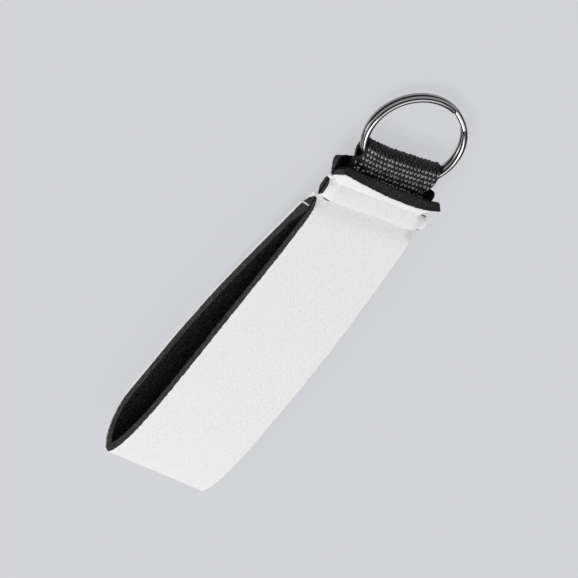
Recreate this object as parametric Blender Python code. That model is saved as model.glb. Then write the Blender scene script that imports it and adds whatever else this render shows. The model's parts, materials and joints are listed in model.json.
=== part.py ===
"""Wristlet keychain: a folded neoprene strip, a webbing tab and a split ring.

The keychain lies on its back. X runs across the strip, Y runs from the fold
of the wrist loop towards the ring, and Z is up from the floor.
"""
import math

import bmesh
import bpy
from mathutils import Vector
from mathutils.geometry import interpolate_bezier

MM = 0.001

# Neoprene strip
BAND_WIDTH = 33.2 * MM
BAND_THICKNESS = 3.0 * MM
LOOP_LENGTH = 110.0 * MM
LOOP_HEIGHT = 17.1 * MM
CREST_FROM_TIP = 27.4 * MM
TIP_HEIGHT = 10.9 * MM
FLOOR_REST_START = 15.6 * MM
FLOOR_REST_LENGTH = 12.0 * MM
TIP_SKEW = math.radians(2.9)

# Seam between the loop and the lips
SEAM_WIDTH = 31.2 * MM
WIDENING_RUN = 53.0 * MM
SEAM_HEIGHT = 9.0 * MM
ROW_SPACING = 6.0 * MM
SEAM_SKEW = math.radians(2.5)
SEAM_SLIT = 0.2 * MM
LOWER_STITCHED_LAYER = 1.35 * MM
UPPER_STITCHED_LAYER = 1.6 * MM
PUFFED_LAYER = 2.1 * MM
FRONT_VALLEY_RUN = 8.4 * MM
FRONT_VALLEY_RISE = 3.0 * MM
BACK_VALLEY_RUN = 8.8 * MM
BACK_VALLEY_DROP = 2.5 * MM
PANEL_SLOPE = math.radians(5.9)

# Lips above the upper stitch row
LIP_REACH = 4.1 * MM
LIP_ROOT_SLOPE = math.radians(30.0)
FRONT_LIP_FLARE = math.radians(58.0)
BACK_LIP_FLARE = math.radians(50.0)
LIP_SIDE_SPREAD = 5.2 * MM
FRONT_LIP_MIDDLE_SPREAD = 7.9 * MM
LIP_SIDE_THICKNESS = 2.4 * MM
LIP_MIDDLE_THICKNESS = 2.8 * MM
LIP_BOW_POWER = 2.2

# Webbing tab
WEBBING_WIDTH = 25.4 * MM
WEBBING_THICKNESS = 1.0 * MM
WEBBING_RIB_PITCH = 1.45 * MM
WEBBING_RIB_HEIGHT = 0.2 * MM
WEBBING_TUCK = 4.2 * MM
WEBBING_REACH = 18.2 * MM
WEBBING_FOLD_SAG = 0.8 * MM
PLY_RAMP = 2.6 * MM
FOLD_SEAT_DEPTH = 5.7 * MM

# Split ring
RING_OUTER_DIAMETER = 30.0 * MM
WIRE_DIAMETER = 1.7 * MM
TURN_GAP = 0.1 * MM
CROSSING_START = math.radians(40.0)
CROSSING_ANGLE = math.radians(30.0)

CLEARANCE = 0.3 * MM

# Shares that shape the curves
QUARTER_HANDLE = 0.5523  # Bezier handle of a quarter ellipse, over its radius
LIP_HANDLE = 0.65        # Bezier handle of a lip, over its reach
POCKET_SIDE_SLOPE = 0.8  # slope of the pocket's side, over the strip left beside it
POCKET_COLUMNS = (0.28, 0.56, 0.82, 1.0)
SIDE_COLUMNS = (0.28, 0.52, 0.8, 1.0)
WEBBING_COLUMNS = (0.28, 0.55, 0.8, 1.0)
SHARP_ANGLE = math.radians(40.0)

# Mesh density
PANEL_STEPS = 12
BEND_STEPS = 14
SEAM_STEPS = 10
LIP_STEPS = 7
RIB_STEPS = 4
RING_STEPS_PER_TURN = 60

# Values worked out from the sizes above
SEAM_HALF_WIDTH = SEAM_WIDTH / 2
WEBBING_FULL_THICKNESS = WEBBING_THICKNESS + WEBBING_RIB_HEIGHT
POCKET_HALF_HEIGHT = SEAM_SLIT / 2 + WEBBING_FULL_THICKNESS + CLEARANCE
POCKET_HALF_WIDTH = WEBBING_WIDTH / 2 + CLEARANCE
LIP_END = ROW_SPACING + LIP_REACH
WIRE_RADIUS = WIRE_DIAMETER / 2
RING_OUTER_RADIUS = RING_OUTER_DIAMETER / 2
RING_RADIUS = RING_OUTER_RADIUS - WIRE_RADIUS
RING_INNER_RADIUS = RING_RADIUS - WIRE_RADIUS
TURN_OFFSET = WIRE_RADIUS + TURN_GAP / 2
FOLD_INNER_RADIUS = TURN_OFFSET + WIRE_RADIUS + CLEARANCE
FOLD_HALF_WIDTH = math.sqrt(RING_INNER_RADIUS ** 2 - FOLD_SEAT_DEPTH ** 2)
RING_CENTRE = (
    WEBBING_REACH
    + math.sqrt(FOLD_INNER_RADIUS ** 2 - TURN_OFFSET ** 2)
    + FOLD_SEAT_DEPTH
    - CLEARANCE
)
SWING_AXIS = RING_CENTRE - RING_RADIUS
RING_FAR_END = RING_CENTRE + RING_RADIUS
SEAM_DIP = math.asin(
    (SEAM_HEIGHT - WIRE_RADIUS) / math.hypot(RING_FAR_END, TURN_OFFSET)
) - math.atan2(TURN_OFFSET, RING_FAR_END)
BACK_LIP_MIDDLE_SPREAD = (SEAM_HEIGHT - LIP_END * math.sin(SEAM_DIP)) / math.cos(SEAM_DIP)
REACH_BEHIND_TIP = BAND_WIDTH / 2 * math.tan(TIP_SKEW)
REACH_BEFORE_TIP = (
    LOOP_LENGTH
    + RING_FAR_END * math.cos(SEAM_DIP)
    + TURN_OFFSET * math.sin(SEAM_DIP)
    + WIRE_RADIUS
)
TIP_Y = (REACH_BEHIND_TIP - REACH_BEFORE_TIP) / 2
LOWER_ROW_Y = TIP_Y + LOOP_LENGTH
UPPER_ROW_Y = LOWER_ROW_Y + ROW_SPACING * math.cos(SEAM_DIP)


def clear_scene():
    for item in list(bpy.data.objects):
        bpy.data.objects.remove(item, do_unlink=True)


def make_collection(name):
    collection = bpy.data.collections.new(name)
    bpy.context.scene.collection.children.link(collection)
    return collection


def make_material(name, colour, roughness, metallic=0.0):
    material = bpy.data.materials.new(name)
    material.use_nodes = True
    shader = material.node_tree.nodes["Principled BSDF"]
    shader.inputs["Base Color"].default_value = (*colour, 1.0)
    shader.inputs["Roughness"].default_value = roughness
    shader.inputs["Metallic"].default_value = metallic
    return material


def smoothstep(value):
    """Ease from 0 to 1 as the value runs from 0 to 1."""
    value = min(max(value, 0.0), 1.0)
    return value * value * (3 - 2 * value)


def blend(low, high, share):
    return low + (high - low) * share


def seam_point(along, out):
    """Point at a distance along the seam's plane from the lower row, and a distance out of it."""
    return Vector((
        0.0,
        LOWER_ROW_Y + along * math.cos(SEAM_DIP) + out * math.sin(SEAM_DIP),
        SEAM_HEIGHT - along * math.sin(SEAM_DIP) + out * math.cos(SEAM_DIP),
    ))


def direction(angle):
    """Unit vector in the YZ plane at an angle above +Y."""
    return Vector((0.0, math.cos(angle), math.sin(angle)))


def bezier(start, start_handle, end_handle, end, steps):
    """Points along a Bezier curve, both ends included."""
    return list(interpolate_bezier(start, start_handle, end_handle, end, steps + 1))


def inward_normals(points):
    """Unit normals in the YZ plane on the left of a path."""
    normals = []
    for index in range(len(points)):
        before = points[max(index - 1, 0)]
        after = points[min(index + 1, len(points) - 1)]
        tangent = (after - before).normalized()
        normals.append(Vector((0.0, -tangent.z, tangent.y)))
    return normals


def loop_outline():
    """Outer face of the wrist loop, from the lower row's front round the tip to its back."""
    towards_tip = -seam_point(1.0, 0.0) + seam_point(0.0, 0.0)
    row_front = seam_point(0.0, SEAM_SLIT / 2 + LOWER_STITCHED_LAYER)
    row_back = seam_point(0.0, -SEAM_SLIT / 2 - LOWER_STITCHED_LAYER)
    shoulder = row_front + Vector((0.0, -FRONT_VALLEY_RUN, FRONT_VALLEY_RISE))
    crest = Vector((0.0, TIP_Y + CREST_FROM_TIP, LOOP_HEIGHT))
    tip = Vector((0.0, TIP_Y, TIP_HEIGHT))
    rest_start = Vector((0.0, TIP_Y + FLOOR_REST_START, 0.0))
    rest_end = rest_start + Vector((0.0, FLOOR_REST_LENGTH, 0.0))
    heel = row_back + Vector((0.0, -BACK_VALLEY_RUN, -BACK_VALLEY_DROP))

    front_slope = direction(math.pi - PANEL_SLOPE)
    back_slope = direction(PANEL_SLOPE)
    front_reach = (shoulder - crest).length / 3
    back_reach = (heel - rest_end).length / 3
    stretches = [
        bezier(
            row_front,
            row_front + towards_tip * FRONT_VALLEY_RUN / 3,
            shoulder - front_slope * FRONT_VALLEY_RUN / 2,
            shoulder, SEAM_STEPS),
        bezier(
            shoulder,
            shoulder + front_slope * front_reach,
            crest + Vector((0.0, front_reach, 0.0)),
            crest, PANEL_STEPS),
        bezier(
            crest,
            crest - Vector((0.0, CREST_FROM_TIP * QUARTER_HANDLE, 0.0)),
            tip + Vector((0.0, 0.0, (LOOP_HEIGHT - TIP_HEIGHT) * QUARTER_HANDLE)),
            tip, BEND_STEPS),
        bezier(
            tip,
            tip - Vector((0.0, 0.0, TIP_HEIGHT * QUARTER_HANDLE)),
            rest_start - Vector((0.0, FLOOR_REST_START * QUARTER_HANDLE, 0.0)),
            rest_start, BEND_STEPS),
        bezier(rest_start, rest_start, rest_end, rest_end, 2),
        bezier(
            rest_end,
            rest_end + Vector((0.0, back_reach, 0.0)),
            heel - back_slope * back_reach,
            heel, PANEL_STEPS),
        bezier(
            heel,
            heel + back_slope * BACK_VALLEY_RUN / 2,
            row_back + towards_tip * BACK_VALLEY_RUN / 6,
            row_back, SEAM_STEPS),
    ]
    points = [row_front]
    for stretch in stretches:
        points += stretch[1:]
    return points


def loop_faces():
    """Outer and inner points of the wrist loop, the strip thinned towards the lower row."""
    outer = loop_outline()
    normals = inward_normals(outer)
    inner = []
    for point, normal in zip(outer, normals):
        from_row = (outer[0] - point).length if point.z > SEAM_HEIGHT else (outer[-1] - point).length
        thinned = smoothstep(from_row / FRONT_VALLEY_RUN)
        inner.append(point + normal * blend(LOWER_STITCHED_LAYER, BAND_THICKNESS, thinned))
    return outer, inner


def pocket_share(across):
    """1 where the webbing parts the two layers, falling to 0 at the strip's sides."""
    side_run = SEAM_HALF_WIDTH - POCKET_HALF_WIDTH
    return 1.0 - smoothstep((abs(across) - POCKET_HALF_WIDTH) / side_run / POCKET_SIDE_SLOPE)


def bow_share(across):
    """1 at the middle of a lip's cut edge, falling to 0 at its ends."""
    return 1.0 - (abs(across) / SEAM_HALF_WIDTH) ** LIP_BOW_POWER


def pocket_half_height(along, across):
    """Half of the gap between the two layers, for the webbing between the stitch rows."""
    opened_by = ROW_SPACING - WEBBING_TUCK - CLEARANCE - SEAM_HALF_WIDTH * math.tan(SEAM_SKEW)
    opening = smoothstep(along / opened_by)
    return blend(SEAM_SLIT / 2, POCKET_HALF_HEIGHT, opening * pocket_share(across))


def rows_faces(across, side):
    """Points between the two rows, lower row first; side is 1 for the front layer and -1 for the back."""
    outer, inner = [], []
    for step in range(1, SEAM_STEPS + 1):
        share = step / SEAM_STEPS
        along = ROW_SPACING * share
        gap = pocket_half_height(along, across)
        stitched = blend(LOWER_STITCHED_LAYER, UPPER_STITCHED_LAYER, share)
        layer = blend(stitched, PUFFED_LAYER, math.sin(math.pi * share))
        inner.append(seam_point(along, side * gap))
        outer.append(seam_point(along, side * (gap + layer)))
    return outer, inner


def lip_faces(across, side):
    """Points of one lip beyond the upper row, ending at its cut edge."""
    bow = bow_share(across)
    middle_spread = FRONT_LIP_MIDDLE_SPREAD if side > 0 else BACK_LIP_MIDDLE_SPREAD
    flare = FRONT_LIP_FLARE if side > 0 else BACK_LIP_FLARE
    spread = blend(LIP_SIDE_SPREAD, middle_spread, bow)
    thickness = blend(LIP_SIDE_THICKNESS, LIP_MIDDLE_THICKNESS, bow)
    gap = pocket_half_height(ROW_SPACING, across)
    handle = LIP_REACH * LIP_HANDLE

    def curve(root, root_slope, end):
        along_out = bezier(
            Vector((root[0], root[1], 0.0)),
            Vector((root[0] + handle * math.cos(root_slope), root[1] + handle * math.sin(root_slope), 0.0)),
            Vector((end[0] - handle * math.cos(flare), end[1] - handle * math.sin(flare), 0.0)),
            Vector((end[0], end[1], 0.0)),
            LIP_STEPS)
        return [seam_point(point.x, side * point.y) for point in along_out[1:]]

    outer = curve((ROW_SPACING, gap + UPPER_STITCHED_LAYER), 0.0, (LIP_END, spread))
    inner_end = (LIP_END + thickness * math.sin(flare), spread - thickness * math.cos(flare))
    inner = curve((ROW_SPACING, gap), LIP_ROOT_SLOPE, inner_end)
    return outer, inner


def placed(point, across):
    """The point in its place across the strip, which is drawn in at the rows, its ends out of square."""
    share = min(max((point.y - TIP_Y) / LOOP_LENGTH, 0.0), 1.0)
    skew = blend(-TIP_SKEW, SEAM_SKEW, share)
    before_rows = smoothstep((LOWER_ROW_Y - point.y) / WIDENING_RUN)
    after_rows = smoothstep((point.y - UPPER_ROW_Y) / (LIP_REACH * math.cos(SEAM_DIP)))
    widened = across * blend(1.0, BAND_WIDTH / SEAM_WIDTH, max(before_rows, after_rows))
    return Vector((widened, point.y + widened * math.tan(skew), point.z))


def loft_strip(name, columns, collection, material):
    """Closed solid through columns of outer and inner points, one column for each place across."""
    mesh = bmesh.new()
    grid = [
        ([mesh.verts.new(point) for point in outer], [mesh.verts.new(point) for point in inner])
        for outer, inner in columns
    ]
    last = len(columns[0][0]) - 1
    for left, right in zip(grid, grid[1:]):
        for row in range(last):
            mesh.faces.new((left[0][row], left[0][row + 1], right[0][row + 1], right[0][row]))
            mesh.faces.new((left[1][row], right[1][row], right[1][row + 1], left[1][row + 1]))
        for row in (0, last):
            mesh.faces.new((left[0][row], right[0][row], right[1][row], left[1][row]))
    for outer, inner in (grid[0], grid[-1]):
        for row in range(last):
            mesh.faces.new((outer[row], inner[row], inner[row + 1], outer[row + 1]))
    bmesh.ops.recalc_face_normals(mesh, faces=mesh.faces)
    data = bpy.data.meshes.new(name)
    mesh.to_mesh(data)
    mesh.free()
    data.materials.append(material)
    data.shade_smooth()
    data.set_sharp_from_angle(angle=SHARP_ANGLE)
    solid = bpy.data.objects.new(name, data)
    collection.objects.link(solid)
    return solid


def make_band(collection):
    """The neoprene strip: lips, stitch rows and wrist loop in one folded piece."""
    loop_outer, loop_inner = loop_faces()
    half = [POCKET_HALF_WIDTH * share for share in POCKET_COLUMNS]
    half += [blend(POCKET_HALF_WIDTH, SEAM_HALF_WIDTH, share) for share in SIDE_COLUMNS]
    places = [-across for across in reversed(half)] + [0.0] + half

    columns = []
    for across in places:
        faces = []
        for side in (1, -1):
            rows = rows_faces(across, side)
            lip = lip_faces(across, side)
            faces.append([rows[face] + lip[face] for face in (0, 1)])
        outer = faces[0][0][::-1] + loop_outer + faces[1][0]
        inner = faces[0][1][::-1] + loop_inner + faces[1][1]
        columns.append(([placed(point, across) for point in outer],
                        [placed(point, across) for point in inner]))
    material = make_material("white_faced_neoprene", (0.84, 0.84, 0.83), 0.85)
    return loft_strip("neoprene_band", columns, collection, material)


def ply_half_gap(along, across):
    """Half of the gap between the webbing's plies, which open to pass round the ring's wire."""
    wire_edge = RING_CENTRE - math.sqrt(RING_OUTER_RADIUS ** 2 - across ** 2)
    opened = smoothstep((along - wire_edge + CLEARANCE + PLY_RAMP) / PLY_RAMP)
    return blend(SEAM_SLIT / 2, FOLD_INNER_RADIUS, opened)


def webbing_column(share):
    """Outer and inner points of the webbing in the seam's plane, at a share of its half width."""
    start = ROW_SPACING - WEBBING_TUCK
    across_fold = share * FOLD_HALF_WIDTH
    fold_centre = WEBBING_REACH - WEBBING_FOLD_SAG * (1.0 - share ** 2)
    steps = round((WEBBING_REACH - start) / WEBBING_RIB_PITCH) * RIB_STEPS
    front, crests, acrosses = [], [], []
    for step in range(steps):
        along = blend(start, fold_centre, step / steps)
        narrowed = smoothstep((along - ROW_SPACING) / (WEBBING_REACH - ROW_SPACING))
        across = share * blend(WEBBING_WIDTH / 2, FOLD_HALF_WIDTH, narrowed)
        front.append(Vector((0.0, along, ply_half_gap(along, across))))
        crests.append(0.5 - 0.5 * math.cos(2 * math.pi * step / RIB_STEPS))
        acrosses.append(across)
    arc = []
    for step in range(BEND_STEPS + 1):
        angle = math.pi * (0.5 - step / BEND_STEPS)
        arc.append(Vector((0.0, fold_centre, 0.0)) + direction(angle) * FOLD_INNER_RADIUS)
    inner = front + arc + [Vector((0.0, point.y, -point.z)) for point in reversed(front)]
    acrosses = acrosses + [across_fold] * len(arc) + acrosses[::-1]
    crests = crests + [1.0 if step % 2 else 0.0 for step in range(len(arc))] + crests[::-1]
    normals = inward_normals(inner)
    outer = [
        point + normal * (WEBBING_THICKNESS + WEBBING_RIB_HEIGHT * crest)
        for point, normal, crest in zip(inner, normals, crests)
    ]
    return (
        [Vector((across, point.y, point.z)) for across, point in zip(acrosses, outer)],
        [Vector((across, point.y, point.z)) for across, point in zip(acrosses, inner)],
    )


def make_webbing(collection, seam):
    """The webbing: one ribbed strip folded round the ring, its ends tucked into the seam."""
    shares = [-share for share in reversed(WEBBING_COLUMNS)] + [0.0] + list(WEBBING_COLUMNS)
    columns = [webbing_column(share) for share in shares]
    material = make_material("black_webbing", (0.018, 0.018, 0.02), 0.6)
    webbing = loft_strip("webbing_tab", columns, collection, material)
    webbing.parent = seam
    return webbing


def ring_point(turned):
    """Centre of the ring's wire after it has turned through an angle from its lower end."""
    single_turn = 2 * math.pi - CROSSING_ANGLE
    rise = smoothstep((turned - single_turn) / CROSSING_ANGLE)
    angle = CROSSING_START - turned
    return Vector((
        RING_RADIUS * math.cos(angle),
        RING_RADIUS + RING_RADIUS * math.sin(angle),
        blend(-TURN_OFFSET, TURN_OFFSET, rise),
    ))


def make_ring(collection, seam):
    """The split ring: two turns of one wire, hinged where it lies deepest in the webbing."""
    total = 4 * math.pi - CROSSING_ANGLE
    steps = round(total / (2 * math.pi) * RING_STEPS_PER_TURN)
    curve = bpy.data.curves.new("split_ring", "CURVE")
    curve.dimensions = "3D"
    curve.bevel_depth = WIRE_RADIUS
    curve.bevel_resolution = 2
    curve.use_fill_caps = True
    spline = curve.splines.new("POLY")
    spline.points.add(steps)
    for step in range(steps + 1):
        spline.points[step].co = (*ring_point(total * step / steps), 1.0)
    curve.materials.append(make_material("polished_steel", (0.56, 0.56, 0.58), 0.16, 1.0))
    ring = bpy.data.objects.new("split_ring", curve)
    ring.location = (0.0, SWING_AXIS, 0.0)
    ring.parent = seam
    collection.objects.link(ring)
    return ring


def make_seam_empty(collection):
    """An empty on the lower row, turned into the seam's plane, which carries the tab and the ring."""
    seam = bpy.data.objects.new("seam_plane", None)
    seam.location = seam_point(0.0, 0.0)
    seam.rotation_euler = (-SEAM_DIP, 0.0, 0.0)
    collection.objects.link(seam)
    return seam


def main():
    clear_scene()
    collection = make_collection("wristlet_keychain")
    make_band(collection)
    seam = make_seam_empty(collection)
    make_webbing(collection, seam)
    make_ring(collection, seam)


main()
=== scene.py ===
"""Looks of the wristlet keychain: neoprene strip, stitching, webbing tab and split ring.

The sizes follow the frame's own pieces. Each operator makes one piece or group of pieces.
"""
import json
import math

import bmesh
import bpy
import numpy as np
from bpy.props import FloatProperty, FloatVectorProperty, IntProperty, PointerProperty
from bpy.types import Operator, Panel, PropertyGroup
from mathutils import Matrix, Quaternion, Vector


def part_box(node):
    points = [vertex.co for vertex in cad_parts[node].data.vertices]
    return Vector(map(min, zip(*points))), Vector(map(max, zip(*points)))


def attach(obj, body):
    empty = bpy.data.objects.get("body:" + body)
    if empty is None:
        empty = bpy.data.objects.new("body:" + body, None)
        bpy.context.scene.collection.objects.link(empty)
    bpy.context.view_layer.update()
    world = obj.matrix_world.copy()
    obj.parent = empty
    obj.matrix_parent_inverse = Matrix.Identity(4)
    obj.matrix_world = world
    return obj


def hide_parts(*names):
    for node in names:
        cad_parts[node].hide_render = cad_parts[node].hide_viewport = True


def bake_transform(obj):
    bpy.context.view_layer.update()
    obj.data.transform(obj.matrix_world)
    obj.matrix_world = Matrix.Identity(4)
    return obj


bl_info = {
    "name": "Wristlet keychain",
    "version": (1, 0, 0),
    "blender": (4, 5, 0),
    "location": "View3D > Sidebar > Wristlet",
    "description": "Makes the looks of a neoprene wristlet keychain",
    "category": "Object",
}

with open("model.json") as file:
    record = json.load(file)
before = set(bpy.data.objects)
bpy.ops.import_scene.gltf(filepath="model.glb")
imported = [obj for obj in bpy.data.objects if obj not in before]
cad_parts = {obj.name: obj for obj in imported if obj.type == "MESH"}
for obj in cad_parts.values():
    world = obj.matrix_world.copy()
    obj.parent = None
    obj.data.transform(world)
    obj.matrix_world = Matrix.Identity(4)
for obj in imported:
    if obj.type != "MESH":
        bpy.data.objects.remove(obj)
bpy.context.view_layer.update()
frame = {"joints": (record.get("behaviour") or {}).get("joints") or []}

MM = 0.001
BAND_LOW, BAND_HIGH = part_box("neoprene_band")
SWING = Vector(frame["joints"][0]["pos_m"])

# Strip, as built in the frame, and how far it lies to the right of the ring's middle
BAND_WIDTH = BAND_HIGH.x - BAND_LOW.x
BAND_SHIFT = 0.2 * MM
BAND_THICKNESS = 3.0 * MM
MIDDLE_COLUMNS = 61
SIDE_COLUMNS = 10
SEAM_WIDTH = 31.2 * MM
SEAM_HALF_WIDTH = SEAM_WIDTH / 2
WIDENING_RUN = 53.0 * MM
LOOP_LENGTH = 110.0 * MM
LOOP_HEIGHT = BAND_HIGH.z
CREST_FROM_TIP = 27.4 * MM
TIP_HEIGHT = 10.9 * MM
FLOOR_REST_START = 15.6 * MM
FLOOR_REST_LENGTH = 12.0 * MM
TIP_SKEW = math.radians(2.9)
TIP_Y = BAND_LOW.y + BAND_WIDTH / 2 * math.tan(TIP_SKEW)
LOWER_ROW_Y = TIP_Y + LOOP_LENGTH

# Seam
SEAM_HEIGHT = 9.0 * MM
SEAM_DIP = math.atan2(SEAM_HEIGHT - SWING.z, SWING.y - LOWER_ROW_Y)
SEAM_SKEW = math.radians(2.5)
SEAM_SLIT = 0.2 * MM
ROW_SPACING = 6.0 * MM
UPPER_ROW_Y = LOWER_ROW_Y + ROW_SPACING * math.cos(SEAM_DIP)
LOWER_STITCHED_LAYER = 1.35 * MM
UPPER_STITCHED_LAYER = 1.6 * MM
PUFFED_LAYER = 2.1 * MM
EDGE_RUN = 3.0 * MM
EDGE_PINCH = 0.3
EDGE_ROUGHNESS = 0.06 * MM
EDGE_SEED = 5
SIDE_BULGE = 1.7 * MM
ROW_PINCH_RUN = 3.5 * MM
PUFF_POWER = 0.6
THROAT_CLOSED_RUN = 6.0 * MM
THROAT_OPENING_RUN = 7.0 * MM
VALLEY_SLOPE = math.radians(30.0)
FRONT_VALLEY_RUN = 8.4 * MM
FRONT_VALLEY_RISE = 3.0 * MM
BACK_VALLEY_RUN = 8.8 * MM
BACK_VALLEY_DROP = 2.5 * MM
PANEL_SLOPE = math.radians(5.9)

# Lips, each value at their sides and in their middle: how far their outer corners reach past the
# upper row and stand off its plane, their thickness, how far their cut ends lean, and their end slope
LIP_SKEW = math.radians(0.9)
LIP_RUN = 5.0 * MM
LIP_WIDENING = 0.025
LIP_CORNER_RADIUS = 1.1 * MM
LIP_ROOT_SLOPE = math.radians(30.0)
LIP_INNER_ROOT_SLOPE = math.radians(32.0)
LIP_OUTER_HANDLES = (0.25, 0.35)
LIP_INNER_HANDLES = (0.5, 0.25)
FRONT_LIP = {
    "reach": (5.1 * MM, 3.8 * MM),
    "spread": (7.1 * MM, 8.3 * MM),
    "thickness": (3.0 * MM, 3.2 * MM),
    "lean": (math.radians(27), math.radians(60)),
    "slope": (math.radians(52), math.radians(58)),
    "bow_centre": 0.22,
    "bow_power": 2.2,
    "outer_rounding": 0.2,
}
BACK_LIP = {
    "reach": (4.9 * MM, 3.6 * MM),
    "spread": (3.8 * MM, 7.3 * MM),
    "thickness": (3.7 * MM, 3.2 * MM),
    "lean": (math.radians(26), math.radians(50)),
    "slope": (math.radians(25), math.radians(45)),
    "bow_centre": 0.0,
    "bow_power": 4.0,
    "outer_rounding": 1.0,
}

# Webbing and ring, as built in the frame, but for where the fold's sag has its middle, how far its
# left end hangs lower, and how far the ring rests lifted about its joint
WEBBING_WIDTH = 25.4 * MM
WEBBING_THICKNESS = 1.0 * MM
WEBBING_RELIEF = 0.2 * MM
WEBBING_TUCK = 4.2 * MM
WEBBING_REACH = 18.2 * MM
WEBBING_FOLD_SAG = 0.9 * MM
FOLD_SAG_CENTRE = -0.3
FOLD_LEFT_DROP = 0.5 * MM
FOLD_STEPS = 25
WEBBING_COLUMNS = 41
PLY_RAMP = 2.6 * MM
FOLD_SEAT_DEPTH = 5.7 * MM
RING_LOW, RING_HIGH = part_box("split_ring")
RING_OUTER_RADIUS = (RING_HIGH.x - RING_LOW.x) / 2
WIRE_DIAMETER = 1.7 * MM
WIRE_RADIUS = WIRE_DIAMETER / 2
RING_RADIUS = RING_OUTER_RADIUS - WIRE_RADIUS
RING_INNER_RADIUS = RING_RADIUS - WIRE_RADIUS
TURN_OFFSET = WIRE_RADIUS + 0.05 * MM
CLEARANCE = 0.3 * MM
RING_LIFT = math.radians(3.0)
CROSSING_START = math.radians(40.0)
CROSSING_ANGLE = math.radians(30.0)
FOLD_INNER_RADIUS = TURN_OFFSET + WIRE_RADIUS + CLEARANCE
FOLD_HALF_WIDTH = math.sqrt(RING_INNER_RADIUS ** 2 - FOLD_SEAT_DEPTH ** 2)
SWING_AXIS = math.hypot(SWING.y - LOWER_ROW_Y, SEAM_HEIGHT - SWING.z)
RING_CENTRE = SWING_AXIS + RING_RADIUS
POCKET_HALF_HEIGHT = SEAM_SLIT / 2 + WEBBING_THICKNESS + WEBBING_RELIEF + CLEARANCE
POCKET_HALF_WIDTH = WEBBING_WIDTH / 2 + CLEARANCE
POCKET_SIDE_SLOPE = 0.8
QUARTER_HANDLE = 0.5523
WIRE_SIDES = 24
WIRE_STATIONS = 520
WIRE_END_RUN = WIRE_RADIUS * 0.35
WIRE_END_SHARE = 0.72

# Grains of the webbing: half the stretch round the fold that has its own rows, their number and
# margin in row pitches, how deep the grains' middles lie, and their length, width and height
FOLD_ROWS = 3.7 * MM
FOLD_ROW_COUNT = 6
FOLD_ROW_MARGIN = 0.6
GRAIN_SINK = 0.02 * MM
FOLD_GRAIN = (1.3 * MM, 0.5 * MM, 0.5 * MM)
PLY_GRAIN = (0.9 * MM, 0.3 * MM, 0.55 * MM)
GRAIN_SPREAD = 0.4
GRAIN_SEED = 11
YARN_SLANT = math.radians(24.0)

# Thread: share of its pitch that a stitch covers, and height of a stitch against its width
STITCH_SHARE = 0.82
STITCH_FLATNESS = 0.8
STITCH_SPREAD = 0.05
STITCH_SEED = 3

# Angles past which the edges of tubes and shells show sharp, and a direction that no tube runs along
TUBE_SHARP = math.radians(60.0)
SHELL_SHARP = math.radians(50.0)
ASIDE = (0.13, 0.31, 0.94)

# Places in the seam as across, along and out, in millimetres, the puckers' after their radius; the puckers
# are grey tubes of painted shade where the knit folds or parts
THREAD_BAR_MM = ((-16.3, -5.9, -4.6), (-16.4, -5.3, -3.0), (-16.2, -4.8, -1.6), (-15.7, -4.6, -0.6))
HEM_HOOK_MM = (
    (-15.9, -2.4, -2.2), (-15.7, -1.2, -1.5), (-15.8, -0.6, -0.7), (-15.9, -0.5, 0.1), (-15.7, -0.8, 0.7))
PUCKERS_MM = {
    "left_row_smudge": (0.3, (-14.2, 0.05, 1.2), (-13.0, -0.1, 1.35), (-11.6, -0.05, 1.4)),
    "right_row_hook": (0.16, (11.4, 0.5, 1.7), (12.6, 0.9, 1.7), (13.7, 0.6, 1.4), (14.6, 0.0, 0.9)),
    "right_row_hole": (0.3, (15.3, 0.5, 0.9), (15.5, 0.6, 0.9), (15.7, 0.7, 0.8)),
    "right_lip_fold": (
        0.24, (11.9, 5.9, 1.7), (13.2, 5.7, 1.6), (14.4, 5.6, 1.3), (15.4, 5.3, 1.0), (16.0, 5.1, 0.6)),
}
# Tucks: their place across and along, half their height and their radius
TUCKS_MM = {
    "left_lip_tuck": (-15.7, 6.2, 0.75, 0.7),
    "right_lip_tuck": (15.7, 5.9, 0.75, 0.7),
    "left_row_tuck": (-15.7, -0.1, 0.5, 0.35),
    "right_row_tuck": (15.7, 0.0, 0.5, 0.5),
}
TUCK_DEPTH = 0.5 * MM
TUCK_TAPER = 0.45
HEM_RADIUS = 0.24 * MM
HOOK_TAPER = (1.2, 0.96)
PUCKER_ARC = (0.1116 * math.pi, 0.93 * math.pi)
PUCKER_POWER = 0.6
# Grey of the pucker tubes: painted shade for the knit's small folds and holes, not a colour of the knit
PAINTED_SHADE_GREY = (0.16, 0.16, 0.16)

# Knit: angle between its wales and the strip's length, their turn of phase per millimetre, and how
# high the courses stand against the wales and both against the fuzz
KNIT_TURN = math.radians(31.7)
WALE_PHASE = 10.5
COURSE_PHASE = 9.2
COURSE_SHARE = 0.35
RELIEF_SHARE = 0.2
MARKS_SPREAD = 0.08
WHITE = (1.0, 1.0, 1.0)

# Studio: lamps by place, size, share of the key's power and whether mirrors show them; then what
# mirrors see besides, by the cosine of the angle from an overhead light
LAMPS = {
    "key_light": ((-0.5, -0.78, 1.68), 1.1, 1.0, True),
    "fill_light": ((-1.7, -0.2, 0.6), 1.4, 0.4, False),
    "rim_light": ((1.6, -0.3, 0.7), 1.2, 0.2, False),
}
OVERHEAD_LIGHT = (0.15, 0.1, 0.984)
STUDIO_BANDS = ((0.0, 0.02), (0.5, 0.03), (0.85, 0.1), (0.91, 0.8), (0.95, 2.0), (1.0, 1.5))
FLOOR_REACH = 4.0

# Camera: width of its sensor in mm, the photo's side in pixels, and where the
# frame's origin lies in the photo, to the right of and below its centre
SENSOR_WIDTH = 36.0
PHOTO_SIZE = 578
ORIGIN_PIXEL = (1.37, -16.25)
CAMERA_CLIP = 20.0


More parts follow.
